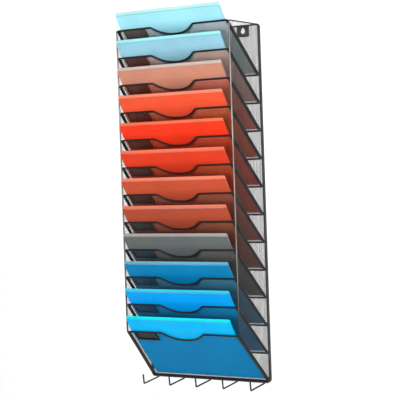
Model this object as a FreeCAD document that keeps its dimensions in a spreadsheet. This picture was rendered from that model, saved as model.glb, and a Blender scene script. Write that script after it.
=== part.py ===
import FreeCAD, Part
import math
import os
import Sketcher

# Wall rack of twelve sloping mesh pockets, each with a lift-out folder.
# Frame: +X to the viewer's right, +Y into the wall, +Z up, millimetres.
# Origin: midway between the two keyholes, on the wall plane.

DIMENSIONS = [
    ("pocket_count", 12, "pockets, top to bottom"),
    ("pocket_pitch", 67.5, "height from one rim to the next"),
    ("panel_run", 124, "how far a pocket front leans out from bottom wire to rim"),
    ("panel_rise", 124, "height of a pocket front from bottom wire to rim"),
    ("rim_height", 15, "top rim above the keyholes"),
    ("front_span", 320, "between the two front side wires, centre to centre"),
    ("back_span", 342, "between the two uprights of the back frame, centre to centre"),
    ("bar_depth", 9, "depth of the back frame's flat bar, out from the wall"),
    ("bar_thick", 3.2, "thickness of the back frame's flat bar"),
    ("front_wire", 4, "diameter of the front wires"),
    ("side_wire", 3.2, "diameter of the arms at the front wires' ends"),
    ("rim_wire", 4.6, "diameter of the pocket frames' wire"),
    ("mesh_sheet", 0.8, "thickness of every mesh sheet"),
    ("plate_sheet", 1.5, "thickness of the hanger plates"),
    ("top_rail_drop", 2, "top rail below the top rim"),
    ("bottom_rail_drop", 3.8, "bottom rail below the lowest pocket's bottom wire"),
    ("frame_top_bend", 4.6, "bend radius at the back frame's top corners"),
    ("frame_low_bend", 9, "bend radius at the back frame's lower corners"),
    ("side_front_bend", 4, "bend radius of a top arm"),
    ("side_low_bend", 8, "bend radius of a low arm"),
    ("arm_turn", 5, "from an arm's corner to its weld on the front wire"),
    ("side_wire_inset", 2, "an arm's end short of the upright's centre"),
    ("rim_half", 157.2, "pocket frame's half width at the rim"),
    ("foot_half", 167.4, "pocket frame's half width at the bottom wire"),
    ("rim_bend", 3, "bend radius at a pocket frame's top corners"),
    ("foot_bend", 4, "bend radius at a pocket frame's bottom corners"),
    ("strip_width", 5.8, "flat side strip inside the pocket frame's wire"),
    ("strip_sheet", 2, "thickness of the flat side strips"),
    ("notch_half", 60, "finger notch's half width at the rim"),
    ("notch_depth", 25, "finger notch's depth down the pocket front"),
    ("notch_slope", 40, "slope of the notch's shoulders, degrees"),
    ("notch_shoulder_bend", 8, "bend radius at the notch's shoulders"),
    ("notch_floor_bend", 72, "bend radius of the notch's round floor"),
    ("label_width", 62.4, "label holder's width"),
    ("label_height", 24.6, "label holder's height"),
    ("label_left", 138.8, "label holder's left edge from the middle"),
    ("label_drop", 2.4, "label holder below the rim wire's centre"),
    ("label_sheet", 0.8, "thickness of the label holder's sheet"),
    ("label_channel", 1.6, "room under the label holder's folded edges"),
    ("label_lip", 3, "width of the label holder's folded edges"),
    ("plate_spacing", 250, "between the two keyholes"),
    ("plate_width", 33, "hanger plate's width"),
    ("plate_top", 11.6, "hanger plate's top edge above its round hole"),
    ("plate_bottom", 14, "hanger plate's lower edge below its round hole"),
    ("plate_margin", 3, "mesh lap on each edge of a hanger plate"),
    ("keyhole_entry", 12, "diameter of the keyhole's round hole"),
    ("keyhole_slot", 4.2, "width of the keyhole's slot"),
    ("keyhole_rise", 7.4, "top of the slot's arc centre above the round hole"),
    ("hook_spacing", 77, "between neighbouring hooks"),
    ("hook_wire", 4, "diameter of the hooks' wire"),
    ("hook_reach", 68, "hook's bend in front of the back frame's centre"),
    ("hook_drop", 10, "hook's bend below the bottom rail's centre"),
    ("hook_tip_rise", 23.5, "hook's tip above its bend"),
    ("hook_tip_lean", 2.5, "hook's tip in front of its bend"),
    ("hook_bend", 3, "hook's bend radius"),
    ("folder_width", 296, "folder's width past the rim"),
    ("folder_foot_width", 315, "folder's width at its lower edge"),
    ("folder_thick", 4, "filled folder's thickness"),
    ("folder_gap", 0.5, "air between a folder and the rim wire"),
    ("folder_foot", 3.2, "folder's lower edge up the pocket from the bottom wire"),
    ("folder_crease", 8, "folder's bend past the rim"),
    ("folder_head", 39, "folder's length past its bend"),
    ("folder_lean", 11, "how much the folder's head turns up, degrees"),
    ("folder_bend", 60, "radius of the folder's bend on its front"),
    ("folder_edge", 1.9, "rounding of the folder's edges"),
]

doc = FreeCAD.newDocument("hanging_file_rack")
sheet = doc.addObject("Spreadsheet::Sheet", "dims")
for row, (alias, size, meaning) in enumerate(DIMENSIONS, start=1):
    sheet.set(f"A{row}", alias)
    sheet.set(f"B{row}", str(size))
    sheet.set(f"C{row}", meaning)
    sheet.setAlias(f"B{row}", alias)
doc.recompute()

# Sizes that several pieces share, as expressions of the sheet's cells.
LEAN = "atan(dims.panel_run / dims.panel_rise)"
PANEL_LENGTH = "sqrt(dims.panel_run ^ 2 + dims.panel_rise ^ 2)"
FOOT_Y = "-(dims.plate_sheet + dims.mesh_sheet + dims.rim_wire / 2)"
RIM_Y = f"({FOOT_Y} - dims.panel_run)"
FRAME_Y = "-(dims.bar_depth / 2)"
MESH_Y = "-(dims.plate_sheet + dims.mesh_sheet / 2)"
TOP_RAIL_Z = "(dims.rim_height - dims.top_rail_drop)"
LOW_RIM_Z = "(dims.rim_height - (dims.pocket_count - 1) * dims.pocket_pitch)"
LOW_FOOT_Z = f"({LOW_RIM_Z} - dims.panel_rise)"
BOTTOM_RAIL_Z = f"({LOW_FOOT_Z} - dims.bottom_rail_drop)"
SIDE_DEPTH = f"({FRAME_Y} - {RIM_Y})"
SIDE_LENGTH = f"sqrt({SIDE_DEPTH} ^ 2 + ((dims.back_span - dims.front_span) / 2) ^ 2)"
FOLDER_FACE = "(dims.rim_wire / 2 + dims.folder_gap)"

parts = []


def value(expression):
    """The number that an expression of the sheet's cells stands for now."""
    return float(sheet.evalExpression(expression))


def new_body(label):
    body = doc.addObject("PartDesign::Body", label)
    body.Label = label
    parts.append(body)
    return body


def new_sketch(body, name, height="0", plane="XY_Plane"):
    """An empty sketch on one of the body's own planes, lifted by height."""
    sketch = body.newObject("Sketcher::SketchObject", name)
    base = [f for f in body.Origin.OriginFeatures if f.Role == plane][0]
    sketch.AttachmentSupport = [(base, "")]
    sketch.MapMode = "FlatFace"
    sketch.setExpression("AttachmentOffset.Base.z", height)
    return sketch


def bind(sketch, kind, targets, expression):
    """Add a sized constraint and bind its size to an expression."""
    index = sketch.addConstraint(Sketcher.Constraint(kind, *targets, value(expression)))
    sketch.setExpression(f"Constraints[{index}]", expression)


def pin(sketch, geometry, position, x, y):
    """Hold a sketch point at the coordinates that two expressions give."""
    for kind, axis, expression in (("DistanceX", -2, x), ("DistanceY", -1, y)):
        size = value(expression)
        if abs(size) < 1e-9:
            sketch.addConstraint(Sketcher.Constraint("PointOnObject", geometry, position, axis))
        elif size > 0:
            bind(sketch, kind, (-1, 1, geometry, position), expression)
        else:
            bind(sketch, kind, (geometry, position, -1, 1), f"-({expression})")


def draw_outline(sketch, corners, closed=True):
    """Lines through corners of (x, y, bend radius), each corner with a radius rounded."""
    places = [FreeCAD.Vector(value(x), value(y), 0) for x, y, bend in corners]
    count = len(places)
    runs = count if closed else count - 1
    first = sketch.GeometryCount
    for i in range(runs):
        sketch.addGeometry(Part.LineSegment(places[i], places[(i + 1) % count]))
    for i in range(count if closed else runs):
        if closed or i > 0:
            before = first + (i - 1) % runs
            sketch.addConstraint(Sketcher.Constraint("Coincident", before, 2, first + i, 1))
    for i, (x, y, bend) in enumerate(corners):
        before = first + (i - 1) % runs
        after = first + i
        if bend is None:
            end = (after, 1) if i < runs else (before, 2)
            pin(sketch, end[0], end[1], x, y)
            continue
        radius = value(bend)
        back = (places[i - 1] - places[i]).normalize() * radius
        ahead = (places[(i + 1) % count] - places[i]).normalize() * radius
        sketch.fillet(before, after, places[i] + back, places[i] + ahead, radius, True, True)
        arc = sketch.GeometryCount - 2
        corner = sketch.GeometryCount - 1
        bind(sketch, "Radius", (arc,), bend)
        pin(sketch, corner, 1, x, y)
    doc.recompute()


def draw_circle(sketch, diameter, x="0", y="0"):
    place = FreeCAD.Vector(value(x), value(y), 0)
    circle = sketch.addGeometry(Part.Circle(place, FreeCAD.Vector(0, 0, 1), value(diameter) / 2))
    bind(sketch, "Diameter", (circle,), diameter)
    if x == "0" and y == "0":
        sketch.addConstraint(Sketcher.Constraint("Coincident", circle, 3, -1, 1))
    else:
        pin(sketch, circle, 3, x, y)


def add_pad(body, sketch, thickness, middle=True):
    """Extrude a sketch along its normal, by half the thickness each way if middle is true."""
    pad = body.newObject("PartDesign::Pad", "Pad")
    pad.Profile = sketch
    pad.SideType = "Symmetric" if middle else "One side"
    pad.setExpression("Length", thickness)
    doc.recompute()
    return pad


def add_cut(body, sketch, depth):
    """Cut a sketch out of the body, by half the depth each way, and check that it cuts."""
    before = body.Shape.Volume
    pocket = body.newObject("PartDesign::Pocket", "Pocket")
    pocket.Profile = sketch
    pocket.SideType = "Symmetric"
    pocket.setExpression("Length", depth)
    doc.recompute()
    if not body.Shape.Volume < before:
        raise RuntimeError(f"{body.Label}: {sketch.Label} cuts nothing")


def add_wire(body, path, diameter):
    """Sweep a round section along a sketched path."""
    section = body.newObject("Sketcher::SketchObject", "Section")
    section.AttachmentSupport = [(path, "Edge1")]
    section.MapMode = "NormalToEdge"
    section.MapPathParameter = 0
    draw_circle(section, diameter)
    doc.recompute()
    pipe = body.newObject("PartDesign::AdditivePipe", "Pipe")
    pipe.Profile = section
    pipe.Spine = (path, [f"Edge{i + 1}" for i in range(len(path.Shape.Edges))])
    doc.recompute()
    return pipe


def bend_wire(body, corners, diameter):
    """A round wire along an open path."""
    path = new_sketch(body, "Path")
    draw_outline(path, corners, closed=False)
    add_wire(body, path, diameter)


def add_group(label, bodies):
    """Pieces that are alike, as separate solids under one name."""
    group = doc.addObject("Part::Compound", label)
    group.Label = label
    group.Links = bodies
    parts.append(group)


def place(body, x, y, z, rotation):
    """Stand a piece at expressions x, y, z with its local axes turned by rotation."""
    body.Placement = FreeCAD.Placement(FreeCAD.Vector(value(x), value(y), value(z)), rotation)
    body.setExpression("Placement.Base.x", x)
    body.setExpression("Placement.Base.y", y)
    body.setExpression("Placement.Base.z", z)


X_AXIS = FreeCAD.Vector(1, 0, 0)
Z_AXIS = FreeCAD.Vector(0, 0, 1)
UPRIGHT = FreeCAD.Rotation(X_AXIS, 90)
PANEL_TURN = FreeCAD.Rotation(X_AXIS, 90 + value(LEAN))


def side_turn(side):
    """Local X runs from the front wire to the upright of that side, local Y runs up."""
    spread = side * (value("dims.back_span") - value("dims.front_span")) / 2
    heading = math.degrees(math.atan2(value(SIDE_DEPTH), spread))
    return FreeCAD.Rotation(Z_AXIS, heading).multiply(UPRIGHT)


def back_outline(grow="0"):
    """The middle line of the back frame's bar, or the line that lies outside it by grow."""
    half = f"(dims.back_span / 2 + {grow})"
    foot = f"({BOTTOM_RAIL_Z} - {grow})"
    head = f"({TOP_RAIL_Z} + {grow})"
    top = f"dims.frame_top_bend + {grow}"
    low = f"dims.frame_low_bend + {grow}"
    return [(f"-{half}", foot, low), (f"-{half}", head, top), (half, head, top), (half, foot, low)]


def make_back_frame():
    """A closed frame of flat bar that stands on edge against the wall."""
    body = new_body("back_frame")
    ring = new_sketch(body, "Ring")
    draw_outline(ring, back_outline("dims.bar_thick / 2"))
    draw_outline(ring, back_outline("(-1) * dims.bar_thick / 2"))
    add_pad(body, ring, "dims.bar_depth")
    place(body, "0", FRAME_Y, "0", UPRIGHT)


def make_back_mesh():
    """The sheet behind the pockets, with a window at each hanger plate."""
    body = new_body("back_mesh")
    outline = new_sketch(body, "Outline")
    draw_outline(outline, back_outline())
    for side in (-1, 1):
        middle = f"{side} * dims.plate_spacing / 2"
        reach = "(dims.plate_width / 2 - dims.plate_margin)"
        low = "-(dims.plate_bottom - dims.plate_margin)"
        high = "dims.plate_top - dims.plate_margin"
        draw_outline(outline, [
            (f"{middle} - {reach}", low, None),
            (f"{middle} - {reach}", high, None),
            (f"{middle} + {reach}", high, None),
            (f"{middle} + {reach}", low, None),
        ])
    add_pad(body, outline, "dims.mesh_sheet")
    place(body, "0", MESH_Y, "0", UPRIGHT)


def make_hanger_plate(label, side):
    body = new_body(label)
    outline = new_sketch(body, "Outline")
    half = "dims.plate_width / 2"
    draw_outline(outline, [
        (f"-({half})", "-dims.plate_bottom", "dims.plate_margin"),
        (f"-({half})", "dims.plate_top", None),
        (half, "dims.plate_top", None),
        (half, "-dims.plate_bottom", "dims.plate_margin"),
    ])
    add_pad(body, outline, "dims.plate_sheet")
    through = "dims.plate_sheet * 2"
    entry = new_sketch(body, "Entry")
    draw_circle(entry, "dims.keyhole_entry")
    add_cut(body, entry, through)
    slot = new_sketch(body, "Slot")
    draw_outline(slot, [
        ("-(dims.keyhole_slot / 2)", "0", None),
        ("-(dims.keyhole_slot / 2)", "dims.keyhole_rise", None),
        ("dims.keyhole_slot / 2", "dims.keyhole_rise", None),
        ("dims.keyhole_slot / 2", "0", None),
    ])
    add_cut(body, slot, through)
    seat = new_sketch(body, "Seat")
    draw_circle(seat, "dims.keyhole_slot", "0", "dims.keyhole_rise")
    add_cut(body, seat, through)
    place(body, f"{side} * dims.plate_spacing / 2", "-(dims.plate_sheet / 2)", "0", UPRIGHT)


def side_corners():
    """The line of one side's wires in its plane: out along the top, down the front, back in."""
    end = f"({SIDE_LENGTH} - dims.side_wire_inset)"
    landing = f"({LOW_RIM_Z} - dims.panel_rise * {end} / dims.panel_run)"
    return [
        (end, TOP_RAIL_Z, None),
        ("0", "dims.rim_height", "dims.side_front_bend"),
        ("0", LOW_RIM_Z, "dims.side_low_bend"),
        (end, landing, None),
    ]


def make_sides():
    """On each side a straight front wire, a bent arm at its top and at its foot, and a mesh."""
    corners = side_corners()
    top_weld = ("0", "dims.rim_height - dims.arm_turn", None)
    low_weld = ("0", f"{LOW_RIM_Z} + dims.arm_turn", None)
    top_arms = []
    low_arms = []
    for name, side in (("left", -1), ("right", 1)):
        front = new_body(f"front_wire_{name}")
        bend_wire(front, [top_weld, low_weld], "dims.front_wire")
        top_arm = doc.addObject("PartDesign::Body", f"top_arm_{name}")
        bend_wire(top_arm, corners[:2] + [top_weld], "dims.side_wire")
        low_arm = doc.addObject("PartDesign::Body", f"low_arm_{name}")
        bend_wire(low_arm, [low_weld] + corners[2:], "dims.side_wire")
        mesh = new_body(f"side_mesh_{name}")
        outline = new_sketch(mesh, "Outline")
        draw_outline(outline, corners)
        add_pad(mesh, outline, "dims.mesh_sheet")
        for body in (front, top_arm, low_arm, mesh):
            place(body, f"{side} * dims.front_span / 2", RIM_Y, "0", side_turn(side))
        top_arms.append(top_arm)
        low_arms.append(low_arm)
    add_group("top_arms", top_arms)
    add_group("low_arms", low_arms)


def pocket_outline():
    """The pocket front's edge, from the bottom wire up to the rim and its finger notch."""
    floor = f"({PANEL_LENGTH} - dims.notch_depth)"
    floor_half = "(dims.notch_half - dims.notch_depth / tan(dims.notch_slope * 1 deg))"
    left = [
        ("-dims.foot_half", "0", "dims.foot_bend"),
        ("-dims.rim_half", PANEL_LENGTH, "dims.rim_bend"),
        ("-dims.notch_half", PANEL_LENGTH, "dims.notch_shoulder_bend"),
        (f"-{floor_half}", floor, "dims.notch_floor_bend"),
    ]
    right = [(f"-({x})", y, bend) for x, y, bend in reversed(left)]
    return left + right


def add_side_strips(body):
    """Flat strips inside the wire on both sides, which the mesh is welded to."""
    strips = new_sketch(body, "Strips")
    low = "dims.foot_bend"
    high = f"({PANEL_LENGTH} - dims.rim_bend)"
    for side in (-1, 1):
        draw_outline(strips, [
            (f"{side} * dims.foot_half", low, None),
            (f"{side} * dims.rim_half", high, None),
            (f"{side} * (dims.rim_half - dims.strip_width)", high, None),
            (f"{side} * (dims.foot_half - dims.strip_width)", low, None),
        ])
    add_pad(body, strips, "dims.strip_sheet")


def make_pocket(number):
    foot_z = f"dims.rim_height - {number - 1} * dims.pocket_pitch - dims.panel_rise"
    frame = new_body(f"pocket_frame_{number:02d}")
    path = new_sketch(frame, "Path")
    draw_outline(path, pocket_outline())
    add_wire(frame, path, "dims.rim_wire")
    add_side_strips(frame)
    mesh = new_body(f"pocket_mesh_{number:02d}")
    outline = new_sketch(mesh, "Outline")
    draw_outline(outline, pocket_outline())
    add_pad(mesh, outline, "dims.mesh_sheet")
    holder = make_label_holder(f"label_holder_{number:02d}")
    for body in (frame, mesh, holder):
        place(body, "0", FOOT_Y, foot_z, PANEL_TURN)
    make_folder(f"folder_{number:02d}", foot_z)


def make_label_holder(label):
    """A plate on the mesh's outer face, folded over at the left, bottom and right."""
    body = new_body(label)
    left = "-dims.label_left"
    right = "(dims.label_width - dims.label_left)"
    top = f"({PANEL_LENGTH} - dims.label_drop)"
    bottom = f"({top} - dims.label_height)"
    face = "dims.mesh_sheet / 2"
    plate = new_sketch(body, "Plate", face)
    draw_outline(plate, [
        (left, top, None),
        (left, bottom, "dims.label_lip"),
        (right, bottom, "dims.label_lip"),
        (right, top, None),
    ])
    add_pad(body, plate, "dims.label_sheet", middle=False)
    height = f"{face} + dims.label_sheet"
    for name, width, base, thickness in (
        ("Wall", "dims.label_sheet", height, "dims.label_channel"),
        ("Lip", "dims.label_lip", f"{height} + dims.label_channel", "dims.label_sheet"),
    ):
        channel = new_sketch(body, name, base)
        draw_outline(channel, [
            (left, top, None),
            (left, bottom, None),
            (right, bottom, None),
            (right, top, None),
            (f"{right} - {width}", top, None),
            (f"{right} - {width}", f"{bottom} + {width}", None),
            (f"{left} + {width}", f"{bottom} + {width}", None),
            (f"{left} + {width}", top, None),
        ])
        add_pad(body, channel, thickness, middle=False)
    return body


def make_folder(label, foot_z):
    """A filled folder: tapered and straight in the pocket, turned up a little past the rim."""
    body = new_body(label)
    profile = new_sketch(body, "Profile")
    bend_at = f"({PANEL_LENGTH} + dims.folder_crease)"
    lean = "(dims.folder_lean * 1 deg)"
    head_x = f"({bend_at} + dims.folder_head * cos({lean}))"
    head_y = f"({FOLDER_FACE} + dims.folder_head * sin({lean}))"
    back = f"({FOLDER_FACE} + dims.folder_thick)"
    draw_outline(profile, [
        ("dims.folder_foot", FOLDER_FACE, "dims.folder_edge"),
        (bend_at, FOLDER_FACE, "dims.folder_bend + dims.folder_thick"),
        (head_x, head_y, "dims.folder_edge"),
        (f"{head_x} - dims.folder_thick * sin({lean})",
         f"{head_y} + dims.folder_thick * cos({lean})", "dims.folder_edge"),
        (f"{bend_at} - dims.folder_thick * tan({lean} / 2)", back, "dims.folder_bend"),
        ("dims.folder_foot", back, "dims.folder_edge"),
    ])
    add_pad(body, profile, "dims.folder_foot_width")
    taper = new_sketch(body, "Taper", plane="XZ_Plane")
    end = f"({head_x} + dims.folder_thick)"
    for side in (-1, 1):
        narrow = f"{side} * dims.folder_width / 2"
        wide = f"{side} * dims.folder_foot_width / 2"
        outside = f"{side} * dims.folder_foot_width"
        draw_outline(taper, [
            ("dims.folder_foot", wide, None),
            (bend_at, narrow, None),
            (end, narrow, None),
            (end, outside, None),
            ("dims.folder_foot", outside, None),
        ])
    add_cut(body, taper, "dims.folder_width")
    slope = math.radians(value(LEAN))
    up = FreeCAD.Vector(0, -math.sin(slope), math.cos(slope))
    inward = FreeCAD.Vector(0, math.cos(slope), math.sin(slope))
    turn = FreeCAD.Rotation(up, inward, up.cross(inward), "XYZ")
    place(body, "0", FOOT_Y, foot_z, turn)


def make_hooks():
    """Five bent wires under the bottom rail."""
    hooks = []
    turn = FreeCAD.Rotation(Z_AXIS, -90).multiply(UPRIGHT)
    for number in range(5):
        hook = doc.addObject("PartDesign::Body", f"hook_{number + 1}")
        bend_wire(hook, [
            ("0", "-(dims.bar_thick / 2 + dims.hook_wire / 3)", None),
            ("dims.hook_reach", "-dims.hook_drop", "dims.hook_bend"),
            ("dims.hook_reach + dims.hook_tip_lean", "dims.hook_tip_rise - dims.hook_drop", None),
        ], "dims.hook_wire")
        place(hook, f"{number - 2} * dims.hook_spacing", FRAME_Y, BOTTOM_RAIL_Z, turn)
        hooks.append(hook)
    add_group("key_hooks", hooks)


def check_document():
    """Stop if any object failed, or any piece is empty or unsound."""
    doc.recompute()
    for thing in doc.Objects:
        if {"Invalid", "Error"} & set(thing.State):
            raise RuntimeError(f"{thing.Label} is {thing.State}")
    for piece in parts:
        if piece.Shape.isNull() or not piece.Shape.isValid() or not piece.Shape.Solids:
            raise RuntimeError(f"{piece.Label} has no sound solid")


def main():
    make_back_frame()
    make_back_mesh()
    make_hanger_plate("hanger_plate_left", -1)
    make_hanger_plate("hanger_plate_right", 1)
    make_sides()
    for number in range(1, int(value("dims.pocket_count")) + 1):
        make_pocket(number)
    make_hooks()
    check_document()
    os.makedirs("parts", exist_ok=True)
    for piece in parts:
        piece.Shape.exportStep(f"parts/{piece.Label}.step")
        box = piece.Shape.optimalBoundingBox()
        print(f"{piece.Label}: {len(piece.Shape.Solids)} solid, {piece.Shape.Volume:.0f} mm3, "
              f"z {box.ZMin:.1f} to {box.ZMax:.1f}")


main()
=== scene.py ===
import math
import random

import bpy
from mathutils import Matrix, Vector


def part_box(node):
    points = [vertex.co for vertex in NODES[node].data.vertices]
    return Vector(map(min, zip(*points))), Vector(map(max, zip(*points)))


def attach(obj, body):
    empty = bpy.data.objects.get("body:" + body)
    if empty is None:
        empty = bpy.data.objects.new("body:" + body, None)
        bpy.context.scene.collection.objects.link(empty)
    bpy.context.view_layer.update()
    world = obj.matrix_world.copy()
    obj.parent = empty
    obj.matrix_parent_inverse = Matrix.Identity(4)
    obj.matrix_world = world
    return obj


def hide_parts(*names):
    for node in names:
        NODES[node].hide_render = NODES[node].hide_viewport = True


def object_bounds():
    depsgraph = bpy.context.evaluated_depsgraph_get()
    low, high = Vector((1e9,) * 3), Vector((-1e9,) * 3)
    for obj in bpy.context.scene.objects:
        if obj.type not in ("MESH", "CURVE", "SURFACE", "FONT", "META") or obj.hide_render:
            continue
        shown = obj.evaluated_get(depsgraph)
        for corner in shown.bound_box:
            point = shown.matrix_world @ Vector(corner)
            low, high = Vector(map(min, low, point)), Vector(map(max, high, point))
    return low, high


# A wall rack of twelve sloping mesh pockets with a lift-out folder in each.
# Metres throughout, in the CAD frame: +X to the right, +Y into the wall, +Z up.
#
# The rack's wires, bars and plates keep their CAD shape and get a finish. Each mesh sheet is replaced by
# two crossing families of strands, and each folder by a folded card cover round a stack of paper.

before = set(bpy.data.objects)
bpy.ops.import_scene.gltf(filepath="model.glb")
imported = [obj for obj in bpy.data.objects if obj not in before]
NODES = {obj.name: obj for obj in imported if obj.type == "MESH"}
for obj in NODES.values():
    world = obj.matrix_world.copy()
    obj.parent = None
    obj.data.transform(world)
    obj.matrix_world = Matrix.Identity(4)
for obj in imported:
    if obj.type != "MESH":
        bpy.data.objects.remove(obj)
CAD_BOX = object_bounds()
POCKETS = [f"{i:02d}" for i in range(1, 13)]

# Mesh: thin strands in two crossing families that leave diamond holes.
DIAMOND_WIDE = 0.0045
DIAMOND_HIGH = 0.0028
STRAND_WIDE = 0.00034     # on the pocket fronts
BACKING_WIDE = 0.00039    # on the sides and the back
STRAND_THICK = 0.00016
STRAND_STEP = 0.00008     # how far each family lies from the sheet's middle

# Folders: a folded card cover round a stack of paper.
CARD = 0.0005             # thickness of the cover's card
FOLDER_FOOT = 0.0032      # lower edge, up the pocket from the bottom wire's centre
FOLDER_FACE = 0.0028      # front cover, inwards from the mesh's middle
FOLDER_THICK = 0.0040
HEAD_WIDE = 0.296         # width past the rim; the lower edge is as wide as the CAD solid
CREASE_PAST_RIM = 0.008
HEAD_LENGTH = 0.039
HEAD_LEAN = math.radians(11)
FRONT_BEND = 0.064        # bend radius of the front cover's face at the crease
FRONT_SHORT = 0.0080      # front cover's top edge below the back cover's
CORNER_ROUND = 0.0014

# Rows of points along a cover: up the straight part, round the crease, up the head, round its corners
# and round the fold at its lower edge.
STRAIGHT_ROWS = 14
CREASE_ROWS = 10
HEAD_ROWS = 3
CORNER_ROWS = 5
FOLD_ROWS = 8
COVER_COLUMNS = 24

# Papers: sheets in a cover, a little out of line with each other.
PAPER_COUNT = 9
PAPER_WIDE = 0.2794
PAPER_THICK = 0.00021
PAPER_FOOT = 0.0019       # lower edge above the cover's
PAPER_SHORT = 0.0022      # top edge below the front cover's
PAPER_ASIDE = 0.0009      # furthest to either side
PAPER_RAISED = 0.0004     # furthest up at the lower edge
PAPER_UNEVEN = 0.0012     # furthest up or down at the top edge
PAPER_STRAIGHT_ROWS = 6
PAPER_CREASE_ROWS = 8
PAPER_COLUMNS = 6

SMOOTH_BELOW = math.radians(40)    # edges of folders that turn by more than this stay sharp

# Card colours from the top pocket down, as sRGB: head; inside, lighter partly as a painted highlight along
# the top edge and partly as the card's lighter inner side; and the part behind the mesh, a tone of its own
# kept at full brightness as painted light for the shade in the pocket.
CARD_COLOURS = [
    ((170, 240, 255), (195, 250, 250), (230, 250, 255)),    # pale blue
    ((155, 210, 230), (170, 245, 250), (250, 220, 210)),    # grey blue
    ((215, 145, 120), (215, 195, 185), (255, 150, 125)),    # pink brown
    ((250, 90, 55), (255, 145, 115), (255, 130, 85)),       # bright orange
    ((255, 60, 30), (255, 120, 85), (255, 100, 65)),        # bright red
    ((235, 65, 35), (255, 125, 95), (245, 105, 65)),        # red
    ((205, 85, 55), (255, 140, 110), (210, 115, 90)),       # brown red
    ((185, 80, 55), (240, 130, 105), (195, 115, 90)),       # brown
    ((105, 110, 110), (175, 170, 170), (140, 140, 135)),    # grey
    ((5, 135, 190), (110, 185, 215), (90, 165, 195)),       # sea blue
    ((0, 170, 255), (60, 215, 245), (35, 180, 240)),        # bright blue
    ((0, 190, 255), (20, 245, 255), (0, 175, 250)),         # light blue
]
PAPER_COLOUR = (238, 236, 230)
CARD_SHADE = 0.735        # the head's and inside's share of the brightness listed
CARD_CLOUDED = 0.92       # the darkest patches' share of the card's brightness
PAPER_CLOUDED = 0.93      # the same for paper, in sRGB

# The tone behind the mesh, painted brighter as fill for the shade in the pocket, starts at the rim, and
# lower in the middle, under the finger notch.
DEEP_FILL_START = 0.0205       # how far below the rim it starts under the notch
DEEP_FILL_FADE = 0.004         # height over which it comes in
NOTCH_INNER = 0.034       # half widths between which its start climbs to the rim
NOTCH_OUTER = 0.066

# Label holders: black, with these shares of the next folder's tone behind the mesh painted in as its
# reflection.
LABEL_BLACK = 0.010
LABEL_PAINTED_REFLECTION = (0.055, 0.085)

# The front wires' plating is pale at the top as a painted highlight and darker below: heights where the
# painted highlight starts and ends to fade.
HIGHLIGHT_FADE_START = -0.10
HIGHLIGHT_FADE_END = -0.72

# Backdrop: a floor that curves up into a far wall.
FLOOR_DROP = 0.35         # floor below the rack
FLOOR_FRONT = -6.0
BACKDROP_BACK = 2.6
BACKDROP_BEND = 1.2
BACKDROP_BEND_STEPS = 12
BACKDROP_HIGH = 6.0
BACKDROP_HALF = 9.0

# Soft lights on the rack: name, place from its middle, width and height, watts.
RACK_LIGHTS = [
    ("key", (0.5, -3.2, -0.15), (3.0, 1.0), 74),
    ("right", (2.7, -1.5, -0.15), (1.8, 1.3), 62),
    ("left", (-2.4, -2.2, 0.0), (1.4, 1.2), 12),
]
BACKDROP_LIGHT = (-1.5, 0.6, 0.8)
BACKDROP_LIGHT_AIM = (-1.5, 2.6, -0.3)
BACKDROP_LIGHT_SIZE = (4.6, 2.0)
BACKDROP_LIGHT_POWER = 55
SKY_STRENGTH = 0.22

# Camera: on the rack's right, a little above the middle of its height.
CAMERA_TARGET = Vector((-0.0056, -0.015, -0.408))
CAMERA_AZIMUTH = math.radians(31.6)
CAMERA_ELEVATION = math.radians(1.4)
CAMERA_ROLL = math.radians(-2.0)
CAMERA_DISTANCE = 3.207
CAMERA_LENS = 116.1
CAMERA_SENSOR = 36


# Materials

def linear(channel):
    """The linear value of an sRGB channel between 0 and 255."""
    value = channel / 255
    return value / 12.92 if value <= 0.04045 else ((value + 0.055) / 1.055) ** 2.4


def colour(rgb, share=1.0):
    """A share of an sRGB colour, as linear values."""
    return tuple(linear(channel) * share for channel in rgb)


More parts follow.
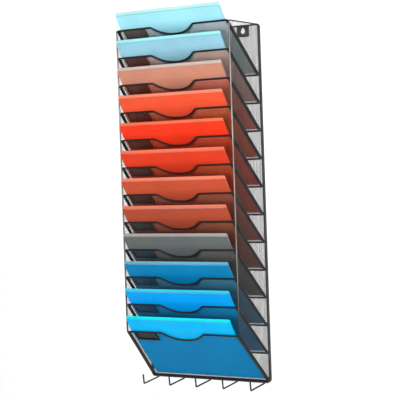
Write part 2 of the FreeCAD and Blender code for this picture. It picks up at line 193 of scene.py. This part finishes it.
class Surface:
    """A node material with the links that most of the finishes here share."""

    def __init__(self, name):
        self.material = bpy.data.materials.new(name)
        self.material.use_nodes = True
        self.tree = self.material.node_tree
        self.shader = self.tree.nodes["Principled BSDF"]
        self.place = self.tree.nodes.new("ShaderNodeTexCoord").outputs["Object"]

    def node(self, kind, **settings):
        made = self.tree.nodes.new(kind)
        for key, value in settings.items():
            setattr(made, key, value)
        return made

    def link(self, source, target):
        self.tree.links.new(source, target)

    def shine(self, specular, metallic=0.0):
        self.shader.inputs["Specular IOR Level"].default_value = specular
        self.shader.inputs["Metallic"].default_value = metallic

    def noise(self, scale, detail=3.0, stretch=(1, 1, 1)):
        mapping = self.node("ShaderNodeMapping")
        mapping.inputs["Scale"].default_value = stretch
        self.link(self.place, mapping.inputs["Vector"])
        texture = self.node("ShaderNodeTexNoise")
        texture.inputs["Scale"].default_value = scale
        texture.inputs["Detail"].default_value = detail
        self.link(mapping.outputs["Vector"], texture.inputs["Vector"])
        return texture.outputs["Fac"]

    def tones(self, source, low, high, start=0.35, end=0.65):
        """A base colour that goes from low to high while source goes from start to end."""
        ramp = self.node("ShaderNodeValToRGB")
        for stop, position, tone in zip(ramp.color_ramp.elements, (start, end), (low, high)):
            stop.position = position
            stop.color = (*tone, 1.0)
        self.link(source, ramp.inputs["Fac"])
        self.link(ramp.outputs["Color"], self.shader.inputs["Base Color"])
        return ramp.outputs["Color"]

    def spread(self, source, start, end, low=0.0, high=1.0):
        """A value that goes from low to high while source goes from start to end."""
        remap = self.node("ShaderNodeMapRange")
        for socket, number in (("From Min", start), ("From Max", end), ("To Min", low), ("To Max", high)):
            remap.inputs[socket].default_value = number
        self.link(source, remap.inputs["Value"])
        return remap.outputs["Result"]

    def axis(self, name):
        """The point's X, Y or Z in the object."""
        split = self.node("ShaderNodeSeparateXYZ")
        self.link(self.place, split.inputs["Vector"])
        return split.outputs[name]

    def calculate(self, operation, *sources):
        made = self.node("ShaderNodeMath", operation=operation)
        for source, socket in zip(sources, made.inputs):
            self.link(source, socket)
        return made.outputs[0]

    def blend(self, share, first, second):
        """A base colour that is the first one where share is 0 and the second where it is 1."""
        mix = self.node("ShaderNodeMix", data_type="RGBA")
        # The mix node has sockets for every data type. These are the factor's and the colours'.
        self.link(share, mix.inputs[0])
        self.link(first, mix.inputs[6])
        self.link(second, mix.inputs[7])
        self.link(mix.outputs[2], self.shader.inputs["Base Color"])

    def blend_at_rim(self, upper, lower, rim):
        """The upper colour on the head and in the finger notch, the lower one behind the mesh, where it
        stands in as painted light for the shade.
        """
        aside = self.calculate("ABSOLUTE", self.axis("X"))
        drop = self.spread(aside, NOTCH_INNER, NOTCH_OUTER, DEEP_FILL_START, 0.0)
        level = self.calculate("ADD", self.axis("Z"), drop)
        self.blend(self.spread(level, rim, rim - DEEP_FILL_FADE), upper, lower)

    def roughness(self, source, low, high):
        self.link(self.spread(source, 0.3, 0.7, low, high), self.shader.inputs["Roughness"])

    def relief(self, source, strength, depth):
        bump = self.node("ShaderNodeBump")
        bump.inputs["Strength"].default_value = strength
        bump.inputs["Distance"].default_value = depth
        self.link(source, bump.inputs["Height"])
        self.link(bump.outputs["Normal"], self.shader.inputs["Normal"])


def powder_coat(name, dark, light, rough, specular):
    """Black powder coat: fine orange peel, a little cloudiness and uneven gloss."""
    surface = Surface(name)
    surface.tones(surface.noise(scale=38, detail=4), dark, light)
    surface.roughness(surface.noise(scale=90, detail=2), rough - 0.05, rough + 0.07)
    surface.relief(surface.noise(scale=1400, detail=2), strength=0.35, depth=0.00005)
    surface.shine(specular)
    return surface.material


def label_coat_with_painted_reflection(number):
    """Black coat with a painted reflection of the next folder down, which stands in front of it."""
    index = int(number)
    reflected_tone = CARD_COLOURS[index][2] if index < len(CARD_COLOURS) else (0, 0, 0)
    # The next folder's tone is painted into the coat as its reflection.
    dark, light = (tuple(LABEL_BLACK + part for part in colour(reflected_tone, share)) for share in LABEL_PAINTED_REFLECTION)
    return powder_coat(f"black_sheet_{number}", dark, light, 0.30, 0.25)


def plated_wire(name):
    """Plated steel wire: pale grey at the top as a painted highlight, darker below, faintly drawn along
    its length.
    """
    surface = Surface(name)
    grain = surface.noise(scale=60, detail=3, stretch=(1, 1, 0.2))
    pale = surface.tones(grain, (0.19, 0.181, 0.168), (0.30, 0.287, 0.266))
    unhighlighted_tone = surface.tones(grain, (0.018, 0.017, 0.016), (0.030, 0.028, 0.026))
    # The pale tone at the top is a painted highlight that fades to the darker tone lower down.
    surface.blend(surface.spread(surface.axis("Z"), HIGHLIGHT_FADE_START, HIGHLIGHT_FADE_END), pale, unhighlighted_tone)
    surface.roughness(surface.noise(scale=120, detail=2, stretch=(1, 1, 0.1)), 0.34, 0.46)
    surface.relief(surface.noise(scale=1500, detail=2, stretch=(1, 1, 0.05)), strength=0.2, depth=0.00003)
    surface.shine(0.5, metallic=0.85)
    return surface.material


def card(name, rgb, rough, deep_and_fill=None, rim=0.0):
    """Smooth coloured card with faint fibres and slightly uneven ink, in another tone below the rim that
    is kept brighter as painted light for the shade behind the mesh.
    """
    surface = Surface(name)
    cloud = surface.noise(scale=14, detail=5, stretch=(1.0, 1.6, 1.6))

    def ink(tint, share):
        return surface.tones(cloud, colour(tint, share * CARD_CLOUDED), colour(tint, share), 0.38, 0.60)

    upper = ink(rgb, CARD_SHADE)
    if deep_and_fill:
        # Behind the mesh the tone keeps its full brightness: painted light that makes up for the shade in
        # the pocket.
        surface.blend_at_rim(upper, ink(deep_and_fill, 1.0), rim)
    surface.roughness(surface.noise(scale=260, detail=3, stretch=(0.4, 1, 1)), rough - 0.04, rough + 0.08)
    surface.relief(surface.noise(scale=900, detail=4, stretch=(0.35, 1, 1)), strength=0.22, depth=0.00004)
    surface.shine(0.12)
    return surface.material


def paper(name, rgb):
    """Matt paper with a fine tooth."""
    surface = Surface(name)
    clouded = tuple(channel * PAPER_CLOUDED for channel in rgb)
    surface.tones(surface.noise(scale=700, detail=3, stretch=(0.3, 1, 1)), colour(clouded), colour(rgb))
    surface.roughness(surface.noise(scale=300, detail=2), 0.78, 0.9)
    surface.relief(surface.noise(scale=1200, detail=3), strength=0.3, depth=0.00003)
    surface.shine(0.2)
    return surface.material


def studio_white(name):
    surface = Surface(name)
    surface.tones(surface.noise(scale=3, detail=2), (0.90, 0.90, 0.90), (0.93, 0.93, 0.93))
    surface.roughness(surface.noise(scale=5, detail=2), 0.85, 0.95)
    return surface.material


WIRE = powder_coat("black_wire", (0.006, 0.006, 0.007), (0.013, 0.013, 0.014), 0.34, 0.25)
STRANDS = powder_coat("black_mesh", (0.003, 0.003, 0.003), (0.006, 0.006, 0.007), 0.48, 0.08)
# The side meshes' strands are a lighter black than the pocket fronts'.
SIDE_STRANDS = powder_coat("lighter_black_mesh", (0.045, 0.045, 0.045), (0.070, 0.070, 0.068), 0.48, 0.2)
PLATE = powder_coat("grey_black_sheet", (0.055, 0.066, 0.066), (0.095, 0.112, 0.110), 0.42, 0.30)
BAR = powder_coat("black_bar", (0.014, 0.014, 0.015), (0.026, 0.026, 0.027), 0.36, 0.35)
PLATED = plated_wire("plated_wire")
PAPER = paper("white_paper", PAPER_COLOUR)

# The CAD nodes whose name starts like this have a finish of their own, and the others are black wire.
FINISHES = {"hanger_plate": PLATE, "front_wire": PLATED, "back_frame": BAR}
FINISHES.update({f"label_holder_{number}": label_coat_with_painted_reflection(number) for number in POCKETS})


def finish_nodes():
    """Give the rack's CAD nodes their finishes."""
    for name, node in NODES.items():
        if name.startswith("folder"):
            continue
        finish = next((made for start, made in FINISHES.items() if name.startswith(start)), WIRE)
        if not node.material_slots:
            node.data.materials.append(finish)
        for slot in node.material_slots:
            slot.link = "OBJECT"
            slot.material = finish


def new_object(name, verts, faces, materials, smooth=False):
    mesh = bpy.data.meshes.new(name)
    mesh.from_pydata([tuple(vert) for vert in verts], [], faces)
    mesh.validate()
    for material in materials:
        mesh.materials.append(material)
    made = bpy.data.objects.new(name, mesh)
    bpy.context.scene.collection.objects.link(made)
    if smooth:
        mesh.shade_smooth()
    return made


# Mesh sheets

class Sheet:
    """A flat CAD sheet: its middle plane's axes and the edges of its face in that plane."""

    def __init__(self, node):
        mesh = NODES[node].data
        largest = max(mesh.polygons, key=lambda polygon: polygon.area)
        self.normal = largest.normal.copy()
        self.along = (Vector((0, 0, 1)) - self.normal * self.normal.z).normalized()
        self.across = self.along.cross(self.normal)
        depths = [vert.co.dot(self.normal) for vert in mesh.vertices]
        self.depth = (min(depths) + max(depths)) / 2
        self.edges = self.outline(mesh)

    def outline(self, mesh):
        """The edges that only one of the face's polygons has."""
        seen = {}
        for polygon in mesh.polygons:
            if polygon.normal.dot(self.normal) < 0.999:
                continue
            corners = [self.flat(mesh.vertices[i].co) for i in polygon.vertices]
            for start, end in zip(corners, corners[1:] + corners[:1]):
                seen.setdefault(frozenset((self.key(start), self.key(end))), []).append((start, end))
        return [found[0] for found in seen.values() if len(found) == 1]

    def flat(self, point):
        """The point's places across and along the sheet."""
        return (point.dot(self.across), point.dot(self.along))

    @staticmethod
    def key(point):
        """The point to the nearest micrometre, so that corners that meet compare as equal."""
        return (round(point[0] * 1e6), round(point[1] * 1e6))

    def solid(self, x, y, lift=0.0):
        """The point in space at x across and y along the sheet, lifted off its middle."""
        return self.across * x + self.along * y + self.normal * (self.depth + lift)


def crossings(edges, direction, offset):
    """Where the line at offset from the origin runs inside the edges, as pairs of places on it."""
    dx, dy = direction
    hits = []
    for (ax, ay), (bx, by) in edges:
        before = ay * dx - ax * dy - offset
        after = by * dx - bx * dy - offset
        if (before > 0) != (after > 0):
            share = before / (before - after)
            hits.append((ax + (bx - ax) * share) * dx + (ay + (by - ay) * share) * dy)
    hits.sort()
    return zip(hits[::2], hits[1::2])


def weave(node, finish, width):
    """Replace a CAD mesh sheet by its strands."""
    sheet = Sheet(node)
    slope = math.atan2(DIAMOND_HIGH, DIAMOND_WIDE)
    spacing = DIAMOND_WIDE * math.sin(slope)
    section = ((-1, -1), (1, -1), (1, 1), (-1, 1))
    verts, faces = [], []
    for turn in (slope, -slope):
        dx, dy = math.cos(turn), math.sin(turn)
        offsets = [y * dx - x * dy for edge in sheet.edges for x, y in edge]
        first = math.ceil(min(offsets) / spacing)
        last = math.floor(max(offsets) / spacing)
        lift = math.copysign(STRAND_STEP, turn)
        for index in range(first, last + 1):
            offset = (index + 0.5) * spacing
            for ends in crossings(sheet.edges, (dx, dy), offset):
                base = len(verts)
                for place in ends:
                    for side, rise in section:
                        shift = offset + side * width / 2
                        height = lift + rise * STRAND_THICK / 2
                        verts.append(sheet.solid(place * dx - shift * dy, place * dy + shift * dx, height))
                faces.append([base + 3, base + 2, base + 1, base])
                faces.append([base + 4, base + 5, base + 6, base + 7])
                for corner in range(4):
                    after = (corner + 1) % 4
                    faces.append([base + corner, base + after, base + 4 + after, base + 4 + corner])
    strands = new_object(node.replace("mesh", "strands"), verts, faces, [finish])
    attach(strands, "rack")
    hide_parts(node)


def make_meshes():
    for number in POCKETS:
        weave(f"pocket_mesh_{number}", STRANDS, STRAND_WIDE)
    weave("back_mesh", STRANDS, BACKING_WIDE)
    for side in ("left", "right"):
        weave(f"side_mesh_{side}", SIDE_STRANDS, BACKING_WIDE)


# Folders

class FolderPath:
    """Where a folder's layers run: straight up the pocket, round the crease, out past the rim."""

    def __init__(self, number):
        sheet = Sheet(f"pocket_mesh_{number}")
        facing = 1 if sheet.normal.y >= 0 else -1
        self.inward = sheet.normal * facing
        self.level = sheet.depth * facing
        self.up = sheet.along
        low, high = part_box(f"folder_{number}")
        self.foot_half = (high.x - low.x) / 2
        heights = [y for edge in sheet.edges for x, y in edge]
        self.start = min(heights) + FOLDER_FOOT
        self.crease = max(heights) + CREASE_PAST_RIM
        tangent = FRONT_BEND * math.tan(HEAD_LEAN / 2)
        self.bend_start = self.crease - tangent
        self.straight = self.bend_start - self.start
        self.bent = self.straight + FRONT_BEND * HEAD_LEAN
        self.length = self.bent + HEAD_LENGTH - tangent

    def profile(self, run, depth):
        """How far up the pocket and how far inwards a layer lies.

        run goes from the lower edge along the front, depth inwards from the front cover's face.
        """
        if run <= self.straight:
            return self.start + run, depth
        angle = min((run - self.straight) / FRONT_BEND, HEAD_LEAN)
        past = max(0.0, run - self.bent)
        reach = FRONT_BEND - depth
        up = self.bend_start + reach * math.sin(angle) + past * math.cos(HEAD_LEAN)
        return up, FRONT_BEND - reach * math.cos(angle) + past * math.sin(HEAD_LEAN)

    def point(self, run, depth, x=0.0):
        up, inward = self.profile(run, depth)
        return Vector((x, 0, 0)) + self.up * up + self.inward * (self.level + FOLDER_FACE + inward)

    def half(self, run):
        """Half the cover's width, which tapers from the lower edge to the crease."""
        share = min((self.profile(run, 0.0)[0] - self.start) / (self.crease - self.start), 1.0)
        return self.foot_half + (HEAD_WIDE / 2 - self.foot_half) * max(share, 0.0)


def spaced(start, end, steps):
    """Evenly spaced numbers from start to end, both included."""
    return [start + (end - start) * i / steps for i in range(steps + 1)]


def slab(rows, columns):
    """A thin closed sheet through rows of (half width, outer side's middle, inner side's middle)."""
    count = columns + 1
    stride = 2 * count
    verts, faces = [], []
    for half, outer, inner in rows:
        for middle in (outer, inner):
            verts += [middle + Vector((x, 0, 0)) for x in spaced(-half, half, columns)]
    for row in range(len(rows) - 1):
        for column in range(columns):
            here = row * stride + column
            above = here + stride
            faces.append([here, here + 1, above + 1, above])
            faces.append([here + count, above + count, above + count + 1, here + count + 1])
        for column, order in ((0, 1), (columns, -1)):
            here = row * stride + column
            quad = [here, here + stride, here + stride + count, here + count]
            faces.append(quad[::order])
    for row, order in ((0, 1), (len(rows) - 1, -1)):
        for column in range(columns):
            here = row * stride + column
            quad = [here, here + count, here + count + 1, here + 1]
            faces.append(quad[::order])
    return verts, faces


def cover_side(path, end, outer_depth, inner_depth):
    """One cover's rows, from the lower fold up to an end with rounded corners."""
    corner = end - CORNER_ROUND
    runs = spaced(FOLDER_THICK / 2, path.straight, STRAIGHT_ROWS)[:-1]
    runs += spaced(path.straight, path.bent, CREASE_ROWS)
    runs += spaced(path.bent, corner, HEAD_ROWS)[1:]
    runs += [corner + CORNER_ROUND * math.sin(angle) for angle in spaced(0, math.pi / 2, CORNER_ROWS)[1:]]
    rows = []
    for run in runs:
        beyond = max(0.0, run - corner)
        trim = CORNER_ROUND - math.sqrt(max(0.0, CORNER_ROUND ** 2 - beyond ** 2))
        rows.append((path.half(run) - trim, path.point(run, outer_depth), path.point(run, inner_depth)))
    return rows


def cover_fold(path):
    """The rows between the two covers, round the lower edge."""
    radius = FOLDER_THICK / 2
    rows = []
    for angle in spaced(0, math.pi, FOLD_ROWS)[1:-1]:
        outer, inner = (path.point(radius - size * math.sin(angle), radius - size * math.cos(angle))
                        for size in (radius, radius - CARD))
        rows.append((path.foot_half, outer, inner))
    return rows


def make_cover(number, path, outside, inside, deep_and_fill):
    """The card cover: down the front, round the lower fold and up the back."""
    rows = cover_side(path, path.length - FRONT_SHORT, 0.0, CARD)[::-1]
    rows += cover_fold(path)
    rows += cover_side(path, path.length, FOLDER_THICK, FOLDER_THICK - CARD)
    rim = path.point(path.crease - CREASE_PAST_RIM - path.start, 0.0).z
    finishes = [card(f"folder_card_{number}", outside, 0.46, deep_and_fill, rim),
                # The inside's lighter card is partly a painted highlight along the folder's top edge and
                # partly the card's lighter inner side.
                card(f"folder_inner_{number}", inside, 0.50)]
    cover = new_object(f"folder_cover_{number}", *slab(rows, COVER_COLUMNS), finishes, smooth=True)
    for polygon in cover.data.polygons:
        is_inner = all((vert // (COVER_COLUMNS + 1)) % 2 == 1 for vert in polygon.vertices)
        polygon.material_index = 1 if is_inner else 0
    cover.data.set_sharp_from_angle(angle=SMOOTH_BELOW)
    return cover


def make_papers(number, path):
    """The sheets of paper inside, each a little out of line with the next."""
    luck = random.Random(int(number))
    verts, faces = [], []
    room = FOLDER_THICK - 2 * CARD
    for leaf in range(PAPER_COUNT):
        depth = CARD + room * (leaf + 0.5) / PAPER_COUNT
        aside = luck.uniform(-PAPER_ASIDE, PAPER_ASIDE)
        foot = PAPER_FOOT + luck.uniform(0, PAPER_RAISED)
        top = path.length - FRONT_SHORT - PAPER_SHORT + luck.uniform(-PAPER_UNEVEN, PAPER_UNEVEN)
        runs = spaced(foot, path.straight, PAPER_STRAIGHT_ROWS)[:-1]
        runs += spaced(path.straight, path.bent, PAPER_CREASE_ROWS)
        runs.append(top)
        sides = (depth - PAPER_THICK / 2, depth + PAPER_THICK / 2)
        rows = [(PAPER_WIDE / 2, *(path.point(run, side, aside) for side in sides)) for run in runs]
        leaf_verts, leaf_faces = slab(rows, PAPER_COLUMNS)
        base = len(verts)
        verts += leaf_verts
        faces += [[vert + base for vert in quad] for quad in leaf_faces]
    stack = new_object(f"folder_papers_{number}", verts, faces, [PAPER], smooth=True)
    stack.data.set_sharp_from_angle(angle=SMOOTH_BELOW)
    return stack


def make_folders():
    for number, colours in zip(POCKETS, CARD_COLOURS):
        folder = f"folder_{number}"
        path = FolderPath(number)
        cover = make_cover(number, path, *colours)
        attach(cover, folder)
        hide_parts(folder)
        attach(make_papers(number, path), folder)


# Scene

def make_backdrop():
    """A pale floor that curves up into a far wall, in one sheet."""
    floor = CAD_BOX[0].z - FLOOR_DROP
    bend_start = BACKDROP_BACK - BACKDROP_BEND
    profile = [(FLOOR_FRONT, floor), (bend_start, floor)]
    for angle in spaced(0, math.pi / 2, BACKDROP_BEND_STEPS)[1:]:
        rise = BACKDROP_BEND - BACKDROP_BEND * math.cos(angle)
        profile.append((bend_start + BACKDROP_BEND * math.sin(angle), floor + rise))
    profile.append((BACKDROP_BACK, floor + BACKDROP_HIGH))
    verts = [(x, y, z) for y, z in profile for x in (-BACKDROP_HALF, BACKDROP_HALF)]
    faces = [[2 * i, 2 * i + 1, 2 * i + 3, 2 * i + 2] for i in range(len(profile) - 1)]
    backdrop = new_object("studio_floor", verts, faces, [studio_white("studio_white")], smooth=True)


def area_light(name, place, target, size, power):
    light = bpy.data.lights.new(name, "AREA")
    light.shape = "RECTANGLE"
    light.size, light.size_y = size
    light.energy = power
    lamp = bpy.data.objects.new(name, light)
    lamp.location = place
    lamp.rotation_euler = (target - place).to_track_quat("-Z", "Y").to_euler()
    lamp.visible_camera = False
    bpy.context.scene.collection.objects.link(lamp)


def make_lights():
    middle = (CAD_BOX[0] + CAD_BOX[1]) / 2
    for name, place, size, power in RACK_LIGHTS:
        area_light(name, middle + Vector(place), middle, size, power)
    area_light("backdrop", Vector(BACKDROP_LIGHT), Vector(BACKDROP_LIGHT_AIM),
               BACKDROP_LIGHT_SIZE, BACKDROP_LIGHT_POWER)
    world = bpy.data.worlds.new("studio")
    world.use_nodes = True
    sky = world.node_tree.nodes["Background"]
    sky.inputs["Color"].default_value = (1, 1, 1, 1)
    sky.inputs["Strength"].default_value = SKY_STRENGTH
    bpy.context.scene.world = world


def make_camera():
    lens = bpy.data.cameras.new("camera")
    lens.lens = CAMERA_LENS
    lens.sensor_width = CAMERA_SENSOR
    camera = bpy.data.objects.new("camera", lens)
    flat = math.cos(CAMERA_ELEVATION)
    back = Vector((math.sin(CAMERA_AZIMUTH) * flat, -math.cos(CAMERA_AZIMUTH) * flat,
                   math.sin(CAMERA_ELEVATION)))
    turn = (-back).to_track_quat("-Z", "Y").to_matrix().to_4x4() @ Matrix.Rotation(CAMERA_ROLL, 4, "Z")
    camera.matrix_world = Matrix.Translation(CAMERA_TARGET + back * CAMERA_DISTANCE) @ turn
    bpy.context.scene.collection.objects.link(camera)
    bpy.context.scene.camera = camera


make_meshes()
make_folders()
finish_nodes()
make_backdrop()
make_lights()
make_camera()
bpy.context.scene.view_settings.view_transform = "Standard"
